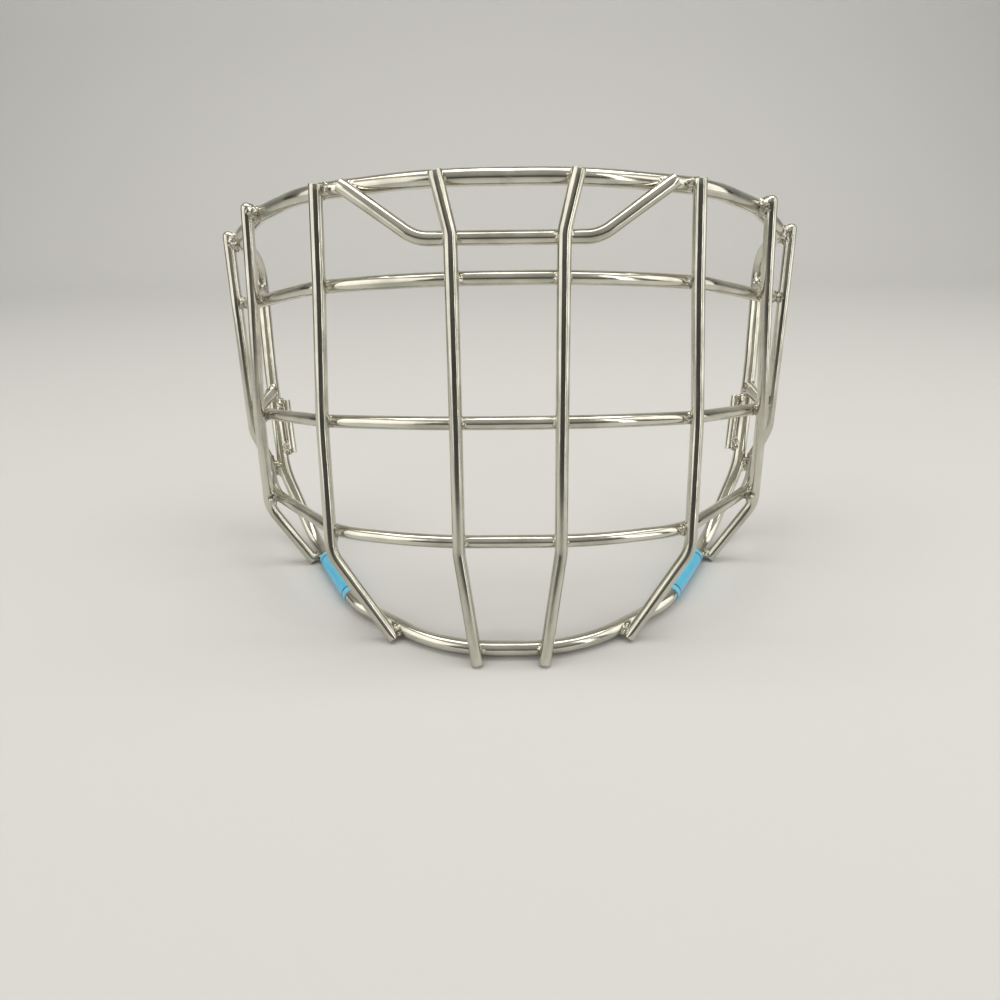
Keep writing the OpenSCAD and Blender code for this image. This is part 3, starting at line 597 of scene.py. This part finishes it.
def sweep():
    """The floor and the wall behind it, joined by a curve, in metres."""
    mesh = bmesh.new()
    reach, front, behind, curve, height = 1.8, 1.6, 0.62, 0.3, 1.5
    start = [mesh.verts.new((x, -front, 0)) for x in (-reach, reach)]
    edge = [mesh.edges.new(start)]

    def extended(edges, shift):
        made = bmesh.ops.extrude_edge_only(mesh, edges=edges)["geom"]
        points = [g for g in made if isinstance(g, bmesh.types.BMVert)]
        bmesh.ops.translate(mesh, vec=shift, verts=points)
        return [g for g in made if isinstance(g, bmesh.types.BMEdge) and g.is_boundary
                and all(v in points for v in g.verts)]

    edge = extended(edge, (0, front + behind, 0))
    steps = 24
    for k in range(steps):
        a, b = (math.pi / 2 * i / steps for i in (k, k + 1))
        back, up = math.sin(b) - math.sin(a), math.cos(a) - math.cos(b)
        edge = extended(edge, (0, curve * back, curve * up))
    extended(edge, (0, 0, height))
    for face in mesh.faces:
        face.smooth = True
    data = bpy.data.meshes.new("sweep")
    mesh.to_mesh(data)
    mesh.free()
    floor = bpy.data.objects.new("sweep", data)
    bpy.context.scene.collection.objects.link(floor)
    paper = bpy.data.materials.new("pale_paper")
    tree, shader = node_tree(paper)
    shader.inputs["Base Color"].default_value = PAPER_COLOUR
    shader.inputs["Roughness"].default_value = PAPER_ROUGHNESS
    data.materials.append(paper)


sweep()


def softbox(name, place, aim, size, watts):
    """A rectangular lamp, turned to the point aim; places and sizes are in metres."""
    lamp = bpy.data.lights.new(name, "AREA")
    lamp.shape = "RECTANGLE"
    lamp.size, lamp.size_y = size
    lamp.energy = watts
    lamp.color = LAMP_COLOUR
    holder = bpy.data.objects.new(name, lamp)
    holder.location = place
    holder.rotation_euler = (Vector(aim) - Vector(place)).to_track_quat("-Z", "Y").to_euler()
    bpy.context.scene.collection.objects.link(holder)


MIDDLE = (0, 0, 0.08)    # of the cage, in metres
softbox("top_lamp", (0, 0.02, 0.75), MIDDLE, (0.9, 0.3), 2.8)
softbox("left_lamp", (-0.8, -0.38, 0.42), MIDDLE, (1.1, 0.8), 3.6)
softbox("right_lamp", (0.8, -0.1, 0.38), MIDDLE, (0.7, 0.8), 2.4)
softbox("right_strip", (0.6, -0.58, 0.35), MIDDLE, (0.1, 0.8), 0.8)
softbox("wall_lamp", (0, 0.25, 1.1), (0, 0.95, 0.35), (1.8, 0.2), 3.6)

# The room round the sweep: dim at eye level, paler towards the ceiling. Each pair is a height, from 0
# under the floor to 1 overhead, and the colour there.
ROOM_COLOURS = ((0.42, (0.30, 0.29, 0.27, 1)), (0.50, (0.09, 0.09, 0.09, 1)), (0.57, (0.09, 0.09, 0.09, 1)),
                (0.64, (0.42, 0.41, 0.38, 1)), (0.86, (0.80, 0.78, 0.73, 1)))
ROOM_STRENGTH = 0.64
world = bpy.data.worlds.new("studio")
bpy.context.scene.world = world
world.use_nodes = True
room = world.node_tree
way = room.nodes.new("ShaderNodeTexCoord")
apart = room.nodes.new("ShaderNodeSeparateXYZ")
walls = room.nodes.new("ShaderNodeValToRGB")
bands = walls.color_ramp
bands.interpolation = "B_SPLINE"
for at, colour in ROOM_COLOURS:
    bands.elements.new(at).color = colour
bands.elements.remove(bands.elements[0])     # the two that a new ramp starts with
bands.elements.remove(bands.elements[-1])
height = room.nodes.new("ShaderNodeMapRange")
height.inputs["From Min"].default_value = -1.0
background = room.nodes["Background"]
background.inputs["Strength"].default_value = ROOM_STRENGTH
link(room, (way.outputs["Generated"], apart.inputs[0]), (apart.outputs["Z"], height.inputs["Value"]),
     (height.outputs[0], walls.inputs["Fac"]), (walls.outputs["Color"], background.inputs["Color"]))

CAMERA_PLACE = (1.0 * MM, -294.5 * MM, 184.0 * MM)
CAMERA_DOWN, CAMERA_YAW, CAMERA_ROLL = 27.1, 1.06, -0.93    # degrees
SENSOR, LENS, NEAREST = 36, 27.04, 0.01                     # mm, mm and m
camera = bpy.data.objects.new("camera", bpy.data.cameras.new("camera"))
camera.data.sensor_width = SENSOR
camera.data.lens = LENS
camera.data.clip_start = NEAREST
camera.matrix_world = (Matrix.Translation(CAMERA_PLACE) @ Matrix.Rotation(math.radians(CAMERA_YAW), 4, "Z")
                       @ Matrix.Rotation(math.radians(90 - CAMERA_DOWN), 4, "X")
                       @ Matrix.Rotation(math.radians(CAMERA_ROLL), 4, "Z"))
bpy.context.scene.collection.objects.link(camera)
bpy.context.scene.camera = camera
bpy.context.scene.view_settings.view_transform = "Standard"
